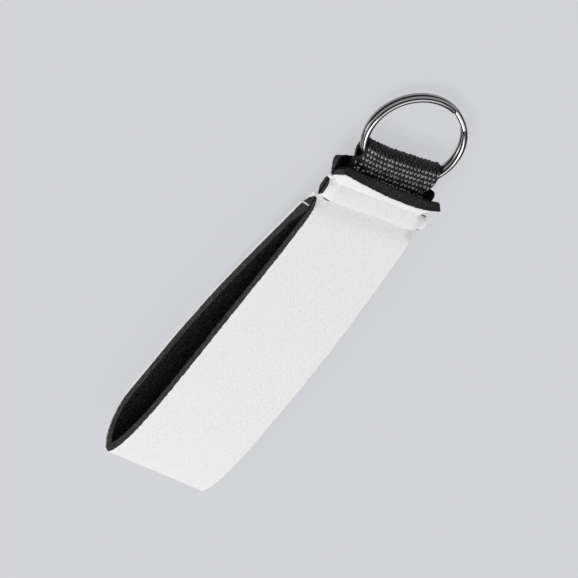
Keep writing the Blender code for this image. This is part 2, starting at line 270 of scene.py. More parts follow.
class NeopreneSettings(PropertyGroup):
    knit_thickness: FloatProperty(
        name="Knit thickness", description="Thickness of the white jersey on the strip's outer face",
        default=0.16 * MM, unit="LENGTH", precision=5)
    lining_thickness: FloatProperty(
        name="Lining thickness", description="Thickness of the fleece on the strip's inner face",
        default=0.3 * MM, unit="LENGTH", precision=5)
    knit_colour: FloatVectorProperty(
        name="Knit colour", description="Colour of the white jersey", subtype="COLOR",
        default=(0.88, 0.88, 0.88))
    foam_colour: FloatVectorProperty(
        name="Foam colour", description="Colour of the foam's cut edges", subtype="COLOR",
        default=(0.037, 0.037, 0.038))
    lining_colour: FloatVectorProperty(
        name="Lining colour", description="Colour of the fleece lining", subtype="COLOR",
        default=(0.009, 0.009, 0.009))


class StitchSettings(PropertyGroup):
    stitch_length: FloatProperty(
        name="Stitch length", description="Distance between needle holes in each row",
        default=2.4 * MM, unit="LENGTH", precision=5)
    thread_diameter: FloatProperty(
        name="Thread diameter", description="Diameter of the sewing thread",
        default=0.3 * MM, unit="LENGTH", precision=5)
    thread_colour: FloatVectorProperty(
        name="Thread colour", description="Colour of the sewing thread", subtype="COLOR",
        default=(0.84, 0.84, 0.84))


class WebbingSettings(PropertyGroup):
    yarns_across: IntProperty(
        name="Yarns across", description="Number of raised yarns across the webbing", default=20, min=4)
    row_pitch: FloatProperty(
        name="Row pitch", description="Distance between rows of raised yarn along the webbing",
        default=1.4 * MM, unit="LENGTH", precision=5)
    # Painted highlight: how many times the yarn colour is lightened on the plies' raised yarns
    yarn_gloss: FloatProperty(
        name="Painted yarn highlight", description="How much brighter the raised yarns are than the ground",
        default=42.0)
    # Painted highlight on the fold's raised yarns, kept weak as painted shade because the fold faces away
    # from the key
    fold_gloss: FloatProperty(
        name="Painted fold highlight", description="How much brighter the yarns on the fold are than the ground",
        default=5.0)
    yarn_colour: FloatVectorProperty(
        name="Yarn colour", description="Colour of the webbing's yarn", subtype="COLOR",
        default=(0.0085, 0.0085, 0.009))


class RingSettings(PropertyGroup):
    ring_colour: FloatVectorProperty(
        name="Ring colour", description="Colour of the plated wire", subtype="COLOR",
        default=(0.38, 0.38, 0.38))
    roughness: FloatProperty(
        name="Roughness", description="Roughness of the plated wire", default=0.12, min=0.0, max=1.0)


class StageSettings(PropertyGroup):
    floor_colour: FloatVectorProperty(
        name="Floor colour", description="Colour of the floor", subtype="COLOR",
        default=(0.66, 0.665, 0.7))
    floor_evenness: FloatProperty(
        name="Floor evenness", description="Share of the floor's look that its own glow makes",
        default=0.8, min=0.0, max=1.0)
    key_power: FloatProperty(
        name="Key power", description="Power of the large lamp overhead, in watts", default=16.6)
    world_strength: FloatProperty(
        name="World strength", description="Strength of the even light from all round", default=0.49)
    camera_azimuth: FloatProperty(
        name="Camera azimuth", description="Direction of the camera, from +X towards +Y",
        default=math.radians(131.9), subtype="ANGLE")
    camera_elevation: FloatProperty(
        name="Camera elevation", description="Angle of the camera above the floor",
        default=math.radians(45.85), subtype="ANGLE")
    camera_roll: FloatProperty(
        name="Camera roll", description="Turn of the picture about the line of sight",
        default=math.radians(-191.41), subtype="ANGLE")
    camera_distance: FloatProperty(
        name="Camera distance", description="Distance from the camera to the keychain",
        default=1.5, unit="LENGTH")
    focal_length: FloatProperty(
        name="Focal length", description="Focal length of the lens, in millimetres", default=332.2)


def smoothstep(value):
    """Ease from 0 to 1 as the value runs from 0 to 1."""
    value = np.clip(value, 0.0, 1.0)
    return value * value * (3 - 2 * value)


def mix(low, high, share):
    return low + (high - low) * share


def unit(vectors):
    """The vectors at length one."""
    return vectors / np.linalg.norm(vectors, axis=-1, keepdims=True)


def left_normals(points):
    """Normals of a line in a plane, on its left."""
    tangent = unit(np.gradient(points, axis=0))
    return np.stack([-tangent[:, 1], tangent[:, 0]], axis=1)


def run_along(points):
    """Distance along a line of points, at each of them."""
    return np.concatenate([[0.0], np.cumsum(np.linalg.norm(np.diff(points, axis=0), axis=1))])


def seam_yz(along, out):
    """World Y and Z of points in the seam's frame: distances along its plane and out of it."""
    y = LOWER_ROW_Y + along * math.cos(SEAM_DIP) + out * math.sin(SEAM_DIP)
    z = SEAM_HEIGHT - along * math.sin(SEAM_DIP) + out * math.cos(SEAM_DIP)
    return np.stack([y, z], axis=-1)


def bezier(points, steps):
    """Points of a cubic Bezier curve, the start left out; the control points may be arrays."""
    t = np.linspace(0.0, 1.0, steps + 1)[1:]
    weights = ((1 - t) ** 3, 3 * t * (1 - t) ** 2, 3 * t ** 2 * (1 - t), t ** 3)
    return sum(w[:, None] * np.asarray(p, float)[None, :] for w, p in zip(weights, points))


def loop_faces():
    """Outer and inner YZ points of the wrist loop, from the lower row's front round to its back,
    the foot that each stands on in the seam's slit, and its distance from the row."""
    row_front = seam_yz(0.0, SEAM_SLIT / 2 + LOWER_STITCHED_LAYER)
    row_back = seam_yz(0.0, -SEAM_SLIT / 2 - LOWER_STITCHED_LAYER)
    towards_tip = np.array([-math.cos(SEAM_DIP), math.sin(SEAM_DIP)])
    valley_slope = np.array([-math.cos(SEAM_DIP + VALLEY_SLOPE), math.sin(SEAM_DIP + VALLEY_SLOPE)])
    shoulder = row_front + (-FRONT_VALLEY_RUN, FRONT_VALLEY_RISE)
    crest = np.array([TIP_Y + CREST_FROM_TIP, LOOP_HEIGHT])
    tip = np.array([TIP_Y, TIP_HEIGHT])
    rest_start = np.array([TIP_Y + FLOOR_REST_START, 0.0])
    rest_end = rest_start + (FLOOR_REST_LENGTH, 0.0)
    heel = row_back + (-BACK_VALLEY_RUN, -BACK_VALLEY_DROP)
    front_slope = np.array([-math.cos(PANEL_SLOPE), math.sin(PANEL_SLOPE)])
    back_slope = np.array([math.cos(PANEL_SLOPE), math.sin(PANEL_SLOPE)])
    front_reach = np.linalg.norm(shoulder - crest) / 3
    back_reach = np.linalg.norm(heel - rest_end) / 3
    stretches = (
        ((row_front, row_front + valley_slope * FRONT_VALLEY_RUN / 3,
          shoulder - front_slope * FRONT_VALLEY_RUN / 2, shoulder), 24),
        ((shoulder, shoulder + front_slope * front_reach, crest + (front_reach, 0), crest), 100),
        ((crest, crest - (CREST_FROM_TIP * QUARTER_HANDLE, 0),
          tip + (0, (LOOP_HEIGHT - TIP_HEIGHT) * QUARTER_HANDLE), tip), 60),
        ((tip, tip - (0, TIP_HEIGHT * QUARTER_HANDLE),
          rest_start - (FLOOR_REST_START * QUARTER_HANDLE, 0), rest_start), 50),
        ((rest_start, rest_start + (FLOOR_REST_LENGTH / 3, 0),
          rest_end - (FLOOR_REST_LENGTH / 3, 0), rest_end), 16),
        ((rest_end, rest_end + (back_reach, 0), heel - back_slope * back_reach, heel), 80),
        ((heel, heel + back_slope * BACK_VALLEY_RUN / 2,
          row_back + towards_tip * BACK_VALLEY_RUN / 6, row_back), 24),
    )
    outer = np.vstack([row_front[None, :]] + [bezier(points, steps) for points, steps in stretches])
    from_front, from_back = (np.linalg.norm(outer - row, axis=1) for row in (row_front, row_back))
    from_row = np.minimum(from_front, from_back)
    layer = mix(LOWER_STITCHED_LAYER, BAND_THICKNESS, smoothstep(from_row / FRONT_VALLEY_RUN))
    side = np.where(from_front < from_back, 1.0, -1.0)
    foot = seam_yz((outer - seam_yz(0.0, 0.0)) @ -towards_tip, side * SEAM_SLIT / 2)
    opened = smoothstep((from_row - THROAT_CLOSED_RUN) / THROAT_OPENING_RUN)[:, None]
    return outer, mix(foot, outer + left_normals(outer) * layer[:, None], opened), foot, from_row


def pocket_half_height(along, across):
    """Half of the gap between the two layers, for the webbing between the rows."""
    side_run = SEAM_HALF_WIDTH - POCKET_HALF_WIDTH
    pocket = 1.0 - smoothstep((np.abs(across) - POCKET_HALF_WIDTH) / side_run / POCKET_SIDE_SLOPE)
    opened_by = ROW_SPACING - WEBBING_TUCK - CLEARANCE - SEAM_HALF_WIDTH * math.tan(SEAM_SKEW)
    return mix(SEAM_SLIT / 2, POCKET_HALF_HEIGHT, smoothstep(along / opened_by) * pocket)


def edge_share(across):
    """How near a column is to the strip's cut edge: 0 inside, 1 on the edge."""
    return smoothstep((np.abs(across) - SEAM_HALF_WIDTH + EDGE_RUN) / EDGE_RUN)


def pinched(across, from_row, run):
    """Share of the layer's thickness that the stitching leaves at the cut edge."""
    return 1.0 - (1.0 - EDGE_PINCH) * edge_share(across) * (1.0 - smoothstep(from_row / run))


def rows_faces(across, side, steps=40):
    """Seam-frame points (along, out) between the rows, for the outer and inner faces of one layer."""
    share = (np.arange(steps) + 1.0) / steps
    along = ROW_SPACING * share
    gap = pocket_half_height(along, across)
    stitched = mix(LOWER_STITCHED_LAYER, UPPER_STITCHED_LAYER, share)
    layer = mix(stitched, PUFFED_LAYER, np.sin(math.pi * share) ** PUFF_POWER)
    layer = layer * pinched(across, np.minimum(along, ROW_SPACING - along), ROW_PINCH_RUN / 2)
    return np.stack([along, side * (gap + layer)], 1), np.stack([along, side * gap], 1)


def lip_faces(across, side, steps=26):
    """Seam-frame points (along, out) of one lip beyond the upper row, outer and inner faces."""
    lip = FRONT_LIP if side > 0 else BACK_LIP
    place = across / SEAM_HALF_WIDTH
    centre = lip["bow_centre"]
    bow = 1.0 - abs((place - centre) / (1.0 - centre * place)) ** lip["bow_power"]
    reach, spread, thickness, lean, slope = (
        mix(*lip[name], bow) for name in ("reach", "spread", "thickness", "lean", "slope"))
    turn = max(0.0, (abs(across) - SEAM_HALF_WIDTH) / LIP_CORNER_RADIUS + 1.0)
    corner = LIP_CORNER_RADIUS * (1.0 - math.sqrt(1.0 - min(turn, 1.0) ** 2))
    gap = float(pocket_half_height(ROW_SPACING, across))
    root_layer = UPPER_STITCHED_LAYER * float(pinched(across, 0.0, ROW_PINCH_RUN))
    outer_end = np.array([ROW_SPACING + reach, spread])
    inner_end = outer_end + thickness * np.array([math.sin(lean), -math.cos(lean)]) - (corner, 0.0)
    outer_end -= (corner * lip["outer_rounding"], 0.0)
    beside_pocket = smoothstep((abs(across) - POCKET_HALF_WIDTH) / EDGE_RUN + 0.5)
    inner_slope = LIP_INNER_ROOT_SLOPE * (1.0 - beside_pocket)

    def curve(root, root_slope, end, handles):
        root_share, end_share = handles
        chord = np.linalg.norm(end - root)
        root_handle = chord * root_share * np.array([math.cos(root_slope), math.sin(root_slope)])
        end_handle = chord * end_share * np.array([math.cos(slope), math.sin(slope)])
        return bezier((root, root + root_handle, end - end_handle, end), steps) * (1, side)

    outer_root, inner_root = np.array([ROW_SPACING, gap + root_layer]), np.array([ROW_SPACING, gap])
    return (curve(outer_root, LIP_ROOT_SLOPE, outer_end, LIP_OUTER_HANDLES),
            curve(inner_root, inner_slope, inner_end, LIP_INNER_HANDLES))


def placed(yz, across):
    """World points of a column in its place across the strip, drawn in at the rows, its ends askew."""
    y, z = yz[:, 0], yz[:, 1]
    skew = mix(-TIP_SKEW, SEAM_SKEW, np.clip((y - TIP_Y) / LOOP_LENGTH, 0.0, 1.0))
    skew = mix(skew, LIP_SKEW, smoothstep((y - LOWER_ROW_Y) / ROW_SPACING))
    widened = mix(1.0, BAND_WIDTH / SEAM_WIDTH, smoothstep((LOWER_ROW_Y - y) / WIDENING_RUN))
    widened = widened + LIP_WIDENING * smoothstep((y - UPPER_ROW_Y) / LIP_RUN)
    x = across * widened
    between = np.clip((y - LOWER_ROW_Y) / (UPPER_ROW_Y - LOWER_ROW_Y), 0.0, 1.0)
    puffed = np.sin(math.pi * between) ** PUFF_POWER
    bulge = SIDE_BULGE * puffed * smoothstep((across - SEAM_HALF_WIDTH + EDGE_RUN) / EDGE_RUN)
    return np.stack([x + bulge + BAND_SHIFT, y + x * np.tan(skew), z], axis=1)


def strip_columns(places):
    """Outer and inner points of the whole strip as arrays of column by station by XYZ."""
    loop_outer, loop_inner, foot, from_row = loop_faces()
    outers, inners = [], []
    for across in places:
        halves = []
        for side in (1, -1):
            rows, lip = rows_faces(across, side), lip_faces(across, side)
            halves.append([seam_yz(*np.vstack([rows[face], lip[face]]).T) for face in (0, 1)])
        thinned = mix(foot, loop_outer, pinched(across, from_row, ROW_PINCH_RUN)[:, None])
        outers.append(placed(np.vstack([halves[0][0][::-1], thinned, halves[1][0]]), across))
        inners.append(placed(np.vstack([halves[0][1][::-1], loop_inner, halves[1][1]]), across))
    outers, inners = np.array(outers), np.array(inners)
    rough = np.random.default_rng(EDGE_SEED)
    for face in (outers, inners):
        face[[0, -1], :, 0] += rough.normal(0.0, EDGE_ROUGHNESS, face[[0, -1], :, 0].shape)
        face[:, [0, -1], 1] += rough.normal(0.0, EDGE_ROUGHNESS, face[:, [0, -1], 1].shape)
    return outers, inners


def linked(name, data):
    """New object in the scene for a mesh, lamp or camera."""
    made = bpy.data.objects.new(name, data)
    bpy.context.scene.collection.objects.link(made)
    return made


def closed_object(name, points, faces, sharp_angle, uvs=None):
    """Object from the faces of a closed shape, turned outwards and shaded smooth."""
    mesh = bpy.data.meshes.new(name)
    mesh.from_pydata(points.tolist(), [], faces)
    if uvs is not None:
        corner_points = np.empty(len(mesh.loops), np.int32)
        mesh.loops.foreach_get("vertex_index", corner_points)
        layer = mesh.uv_layers.new(name="surface")
        layer.data.foreach_set("uv", uvs[corner_points].astype(np.float32).ravel())
    built = bmesh.new()
    built.from_mesh(mesh)
    if built.calc_volume(signed=True) < 0:
        mesh.flip_normals()
    built.free()
    mesh.shade_smooth()
    mesh.set_sharp_from_angle(angle=sharp_angle)
    return linked(name, mesh)


def shell_object(name, top, bottom, across, run):
    """Closed shell between two grids of column by row points, with a UV map in metres."""
    columns, rows = top.shape[:2]
    count = columns * rows
    index = np.arange(count).reshape(columns, rows)
    a, b, c, d = index[:-1, :-1], index[:-1, 1:], index[1:, 1:], index[1:, :-1]
    top_faces = np.stack([a, b, c, d], -1).reshape(-1, 4)
    bottom_faces = np.stack([a, d, c, b], -1).reshape(-1, 4) + count
    rim = np.concatenate([index[0, :], index[1:, -1], index[-1, -2::-1], index[-2:0:-1, 0]])
    after = np.roll(rim, -1)
    rim_faces = np.stack([rim, rim + count, after + count, after], -1)
    faces = np.vstack([top_faces, bottom_faces, rim_faces]).tolist()
    points = np.vstack([top.reshape(-1, 3), bottom.reshape(-1, 3)])
    uv = np.stack(np.broadcast_arrays(across[:, None], run[None, :]), axis=-1).reshape(-1, 2)
    return closed_object(name, points, faces, SHELL_SHARP, np.vstack([uv, uv]))


def tube_object(name, rings):
    """Closed tube through rings of points, its two ends capped with fans."""
    count, around = rings.shape[:2]
    index = np.arange(count * around).reshape(count, around)
    after = np.roll(index, -1, axis=1)
    faces = np.stack([index[:-1], after[:-1], after[1:], index[1:]], -1).reshape(-1, 4).tolist()
    hubs = rings[[0, -1]].mean(axis=1)
    for hub, loop in ((index.size, index[0]), (index.size + 1, index[-1][::-1])):
        faces += [[b, a, hub] for a, b in zip(loop.tolist(), np.roll(loop, -1).tolist())]
    points = np.vstack([rings.reshape(-1, 3), hubs])
    return closed_object(name, points, faces, TUBE_SHARP)


def rings_round(centre, radius, first, second, sides):
    """Rings of points round a line, in the plane of two unit directions at each of its points."""
    turn = np.linspace(0.0, 2 * math.pi, sides + 1)[:-1, None]
    spokes = np.cos(turn) * first[:, None] + np.sin(turn) * second[:, None]
    return centre[:, None] + radius[:, None, None] * spokes


class Nodes:
    """Short hand for adding nodes to a tree."""

    def __init__(self, tree):
        self.tree = tree

    def add(self, kind, inputs=None, **settings):
        node = self.tree.nodes.new(kind)
        for key, value in settings.items():
            setattr(node, key, value)
        for key, value in (inputs or {}).items():
            if isinstance(value, bpy.types.NodeSocket):
                self.tree.links.new(value, node.inputs[key])
            else:
                node.inputs[key].default_value = value
        return node

    def maths(self, operation, *values):
        return self.add("ShaderNodeMath", dict(enumerate(values)), operation=operation).outputs[0]

    def ramp(self, factor, stops):
        """Colour ramp from stops of place and colour, in order."""
        node = self.add("ShaderNodeValToRGB", {"Fac": factor})
        elements = node.color_ramp.elements
        for place, _ in stops[2:]:
            elements.new(place)
        for element, (place, colour) in zip(elements, stops):
            element.position = place
            element.color = (*colour, 1.0)
        return node.outputs["Color"]

    def shades(self, factor, colour, stops):
        """Colour ramp through shades of one colour, from stops of place and brightness."""
        return self.ramp(factor, [(place, tuple(min(1.0, value * level) for value in colour))
                                  for place, level in stops])


class Finish(Nodes):
    """Nodes of a new material."""

    def __init__(self, name):
        self.material = bpy.data.materials.new(name)
        self.material.use_nodes = True
        super().__init__(self.material.node_tree)
        self.shader = self.tree.nodes["Principled BSDF"]

    def place(self):
        return self.add("ShaderNodeTexCoord").outputs["Object"]

    def on_surface(self):
        return self.add("ShaderNodeUVMap", uv_map="surface").outputs["UV"]

    def noise(self, place, scale, detail, roughness=0.5):
        return self.add("ShaderNodeTexNoise", {
            "Vector": place, "Scale": scale, "Detail": detail, "Roughness": roughness}).outputs["Fac"]

    def cells(self, place, scale):
        return self.add("ShaderNodeTexVoronoi", {"Vector": place, "Scale": scale}).outputs["Distance"]

    def multiplied(self, tone, shade):
        return self.add("ShaderNodeMix", {"Factor": 1.0, 6: tone, 7: shade}, data_type="RGBA",
                        blend_type="MULTIPLY").outputs[2]

    def bump(self, height, strength, distance):
        return self.add("ShaderNodeBump", {
            "Height": height, "Strength": strength, "Distance": distance}).outputs["Normal"]

    def shade(self, **values):
        """Set or link the shader's sockets, named in lower case with underscores."""
        names = {item.name.lower().replace(" ", "_"): item for item in self.shader.inputs}
        for key, value in values.items():
            if isinstance(value, bpy.types.NodeSocket):
                self.tree.links.new(value, names[key])
            elif hasattr(value, "__len__"):
                names[key].default_value = (*value, 1.0)
            else:
                names[key].default_value = value


def knit_material(settings):
    """White jersey: fine wales that run askew to the strip, pinholes and a soft nap."""
    nodes = Finish("white_jersey_knit")
    turned = nodes.add("ShaderNodeMapping", {
        "Vector": nodes.on_surface(), "Rotation": (0.0, 0.0, KNIT_TURN),
        "Scale": (1 / MM, 1 / MM, 1 / MM)}).outputs[0]
    split = nodes.add("ShaderNodeSeparateXYZ", {"Vector": turned})
    shifted = nodes.maths("ADD", split.outputs["X"], nodes.noise(turned, scale=0.9, detail=2.0))
    wale = nodes.maths("SINE", nodes.maths("MULTIPLY", shifted, WALE_PHASE))
    course = nodes.maths("SINE", nodes.maths("MULTIPLY", split.outputs["Y"], COURSE_PHASE))
    relief = nodes.maths("ADD", wale, nodes.maths("MULTIPLY", course, COURSE_SHARE))
    fuzz = nodes.noise(turned, scale=2.4, detail=4.0)
    height = nodes.maths("ADD", nodes.maths("MULTIPLY", relief, RELIEF_SHARE), fuzz)
    drawn = nodes.add("ShaderNodeMapping", {"Vector": turned, "Scale": (3.0, 0.9, 1.0)}).outputs[0]
    streaks = nodes.shades(nodes.noise(drawn, scale=1.0, detail=3.0), WHITE, ((0.36, 0.94), (0.58, 1.0)))
    pinholes = nodes.shades(nodes.cells(turned, scale=0.75), settings.knit_colour,
                            ((0.0, 0.72), (0.09, 0.95), (0.24, 1.0)))
    nodes.shade(base_color=nodes.multiplied(pinholes, streaks), roughness=0.92,
                normal=nodes.bump(height, strength=0.7, distance=0.1 * MM),
                sheen_weight=0.25, sheen_roughness=0.5, specular_ior_level=0.25)
    return nodes.material


def foam_material(settings, length):
    """Charcoal foam, cut with a blade: fine pits, a mottle, and painted shade that darkens it near the
    strip's two cut ends.
    """
    nodes = Finish("charcoal_foam")
    place = nodes.place()
    mottle = nodes.noise(place, scale=1500.0, detail=5.0)
    tone = nodes.shades(mottle, settings.foam_colour, ((0.32, 0.45), (0.6, 1.4), (0.75, 3.0)))
    # Painted shade: at either end of the strip's run the foam is darkened to 0.62 of its tone, fading out
    # by 0.7 mm
    run = nodes.add("ShaderNodeSeparateXYZ", {"Vector": nodes.on_surface()}).outputs["Y"]
    from_end = nodes.maths("MINIMUM", run, nodes.maths("SUBTRACT", length, run))
    painted_end_shade = nodes.shades(nodes.maths("DIVIDE", from_end, MM), WHITE, ((0.0, 0.62), (0.7, 1.0)))
    height = nodes.maths("ADD", nodes.cells(place, scale=5200.0), mottle)
    nodes.shade(base_color=nodes.multiplied(tone, painted_end_shade), roughness=0.85,
                normal=nodes.bump(height, strength=0.5, distance=0.12 * MM), specular_ior_level=0.3)
    return nodes.material


def lining_material(settings):
    """Black fleece: a deep nap with stray grey fibre ends."""
    nodes = Finish("black_fleece")
    place = nodes.place()
    tone = nodes.shades(nodes.cells(place, scale=2900.0), settings.lining_colour,
                        ((0.0, 12.0), (0.26, 3.2), (0.46, 1.1), (0.7, 0.5)))
    nap = nodes.noise(place, scale=2600.0, detail=6.0, roughness=0.7)
    nodes.shade(base_color=tone, roughness=1.0, specular_ior_level=0.1,
                normal=nodes.bump(nap, strength=0.8, distance=0.2 * MM))
    return nodes.material


def thread_material(settings):
    """Sewing thread, twisted in fine plies."""
    nodes = Finish("sewing_thread")
    twist = nodes.add("ShaderNodeTexWave", {"Vector": nodes.place(), "Scale": 1500.0, "Distortion": 1.5},
                      bands_direction="DIAGONAL").outputs["Fac"]
    tone = nodes.shades(twist, settings.thread_colour, ((0.0, 0.7), (0.6, 1.0)))
    nodes.shade(base_color=tone, roughness=0.7,
                normal=nodes.bump(twist, strength=0.4, distance=0.05 * MM))
    return nodes.material


def yarn_material(settings, name, brightness):
    """Black filament yarn with its fine strands; a brightness above one lightens the colour as a painted
    highlight.
    """
    nodes = Finish(name)
    strands = nodes.noise(nodes.place(), scale=3800.0, detail=4.0)
    # Painted highlight: the brightness multiplies the yarn's colour for the raised yarns
    tone = nodes.shades(strands, settings.yarn_colour, ((0.35, 0.5 * brightness), (0.65, 1.6 * brightness)))
    nodes.shade(base_color=tone, roughness=0.55, specular_ior_level=0.3,
                normal=nodes.bump(strands, strength=0.35, distance=0.08 * MM))
    return nodes.material


def steel_material(settings):
    """Polished nickel plate with faint drawing marks."""
    nodes = Finish("polished_nickel")
    marks = nodes.noise(nodes.place(), scale=700.0, detail=3.0)
    rough = nodes.maths("MULTIPLY_ADD", marks, MARKS_SPREAD, settings.roughness - MARKS_SPREAD / 2)
    nodes.shade(base_color=settings.ring_colour, metallic=1.0, roughness=rough)
    return nodes.material


class WRISTLET_OT_neoprene(Operator):
    """Make the neoprene strip's three layers: knit face, foam and lining"""
    bl_idname = "wristlet.neoprene"
    bl_label = "Neoprene strip"

    def execute(self, context):
        settings = context.scene.wristlet_neoprene
        middle = np.linspace(-1.0, 1.0, MIDDLE_COLUMNS) * POCKET_HALF_WIDTH
        shares = np.linspace(0.0, 1.0, SIDE_COLUMNS + 1)[1:]
        sides = POCKET_HALF_WIDTH + (SEAM_HALF_WIDTH - POCKET_HALF_WIDTH) * shares
        places = np.concatenate([-sides[::-1], middle, sides])
        outer, inner = strip_columns(places)
        inward = unit(inner - outer)
        knit_inner = outer + inward * settings.knit_thickness
        lining_outer = inner - inward * settings.lining_thickness
        run = run_along(outer[len(places) // 2])
        length = float(run[-1])
        knit = shell_object("knit_face", outer, knit_inner, places, run)
        foam = shell_object("foam_core", knit_inner, lining_outer, places, run)
        lining = shell_object("fleece_lining", lining_outer, inner, places, run)
        for piece, material in ((knit, knit_material(settings)), (foam, foam_material(settings, length)),
                                (lining, lining_material(settings))):
            piece.data.materials.append(material)
            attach(piece, "band")
        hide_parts("neoprene_band")
        return {"FINISHED"}


def loose_tube(name, points, radii, sides=10):
    """Closed round tube along points, its radius given at each."""
    tangent = unit(np.gradient(points, axis=0))
    first = unit(np.cross(tangent, ASIDE))
    return tube_object(name, rings_round(points, radii, first, np.cross(tangent, first), sides))


def seam_points(*triples):
    """World points in the band from triples of across, along and out."""
    return np.vstack([placed(seam_yz(np.array([along]), np.array([out])), across)
                      for across, along, out in triples])


def in_metres(triples):
    return [tuple(value * MM for value in triple) for triple in triples]


def smooth_route(points, steps=8):
    """Points of a smooth curve through the given points."""
    ends = np.vstack([2 * points[0] - points[1], points, 2 * points[-1] - points[-2]])
    t = np.linspace(0.0, 1.0, steps + 1)[:-1, None]
    spans = []
    for p0, p1, p2, p3 in zip(ends, ends[1:], ends[2:], ends[3:]):
        spans.append(0.5 * (2 * p1 + (p2 - p0) * t + (2 * p0 - 5 * p1 + 4 * p2 - p3) * t ** 2
                            + (3 * p1 - p0 - 3 * p2 + p3) * t ** 3))
    return np.vstack(spans + [points[-1:]])


def scatter_tree():
    """Geometry Nodes group that sets a piece on every point, turned by the point's attributes."""
    tree = bpy.data.node_groups.new("set_on_points", "GeometryNodeTree")
    for name, kind in (("Points", "Geometry"), ("Piece", "Object"), ("Material", "Material"),
                       ("Seed", "Int"), ("Spread", "Float")):
        tree.interface.new_socket(name, in_out="INPUT", socket_type="NodeSocket" + kind)
    tree.interface.new_socket("Result", in_out="OUTPUT", socket_type="NodeSocketGeometry")
    nodes = Nodes(tree)
    given = nodes.add("NodeGroupInput").outputs

    def attribute(name):
        return nodes.add("GeometryNodeInputNamedAttribute", {"Name": name},
                         data_type="FLOAT_VECTOR").outputs["Attribute"]

    upright = nodes.add("FunctionNodeAlignRotationToVector", {"Vector": attribute("facing")}, axis="Z")
    turned = nodes.add("FunctionNodeAlignRotationToVector", {
        "Vector": attribute("lay"), "Rotation": upright.outputs[0]}, axis="X", pivot_axis="Z")
    vary = nodes.add("FunctionNodeRandomValue", {
        2: nodes.maths("SUBTRACT", 1.0, given["Spread"]), 3: nodes.maths("ADD", 1.0, given["Spread"]),
        "Seed": given["Seed"]})
    sized = nodes.add("ShaderNodeVectorMath", {
        0: attribute("size"), "Scale": vary.outputs[1]}, operation="SCALE")
    piece = nodes.add("GeometryNodeObjectInfo", {"Object": given["Piece"]})
    copies = nodes.add("GeometryNodeInstanceOnPoints", {
        "Points": given["Points"], "Instance": piece.outputs["Geometry"],
        "Rotation": turned.outputs[0], "Scale": sized.outputs[0]})
    real = nodes.add("GeometryNodeRealizeInstances", {0: copies.outputs[0]})
    dressed = nodes.add("GeometryNodeSetMaterial", {
        "Geometry": real.outputs[0], "Material": given["Material"]})
    nodes.add("NodeGroupOutput", {0: dressed.outputs[0]})
    return tree


def scatter(name, places, facing, lay, sizes, piece, material, seed, spread):
    """Copies of a small piece on points, joined into one object."""
    mesh = bpy.data.meshes.new(name)
    mesh.from_pydata(np.asarray(places).tolist(), [], [])
    for attribute, values in (("facing", facing), ("lay", lay), ("size", sizes)):
        layer = mesh.attributes.new(attribute, "FLOAT_VECTOR", "POINT")
        layer.data.foreach_set("vector", np.asarray(values, np.float32).ravel())
    guide = linked(name + "_guide", mesh)
    tree = bpy.data.node_groups.get("set_on_points") or scatter_tree()
    modifier = guide.modifiers.new("set_on_points", "NODES")
    modifier.node_group = tree
    values = {"Piece": piece, "Material": material, "Seed": seed, "Spread": spread}
    for item in tree.interface.items_tree:
        if item.in_out == "INPUT" and item.name in values:
            modifier[item.identifier] = values[item.name]
    bpy.context.view_layer.update()
    evaluated = guide.evaluated_get(bpy.context.evaluated_depsgraph_get())
    made = linked(name, bpy.data.meshes.new_from_object(evaluated))
    made.data.name = name
    made.data.shade_smooth()
    for spare in (guide, piece):
        data = spare.data
        bpy.data.objects.remove(spare)
        bpy.data.meshes.remove(data)
    return made


def pebble(name, detail=2):
    """Ball of radius one half, for stretching into grains and stitches."""
    mesh = bpy.data.meshes.new(name)
    built = bmesh.new()
    bmesh.ops.create_icosphere(built, subdivisions=detail, radius=0.5)
    built.to_mesh(mesh)
    built.free()
    return linked(name, mesh)


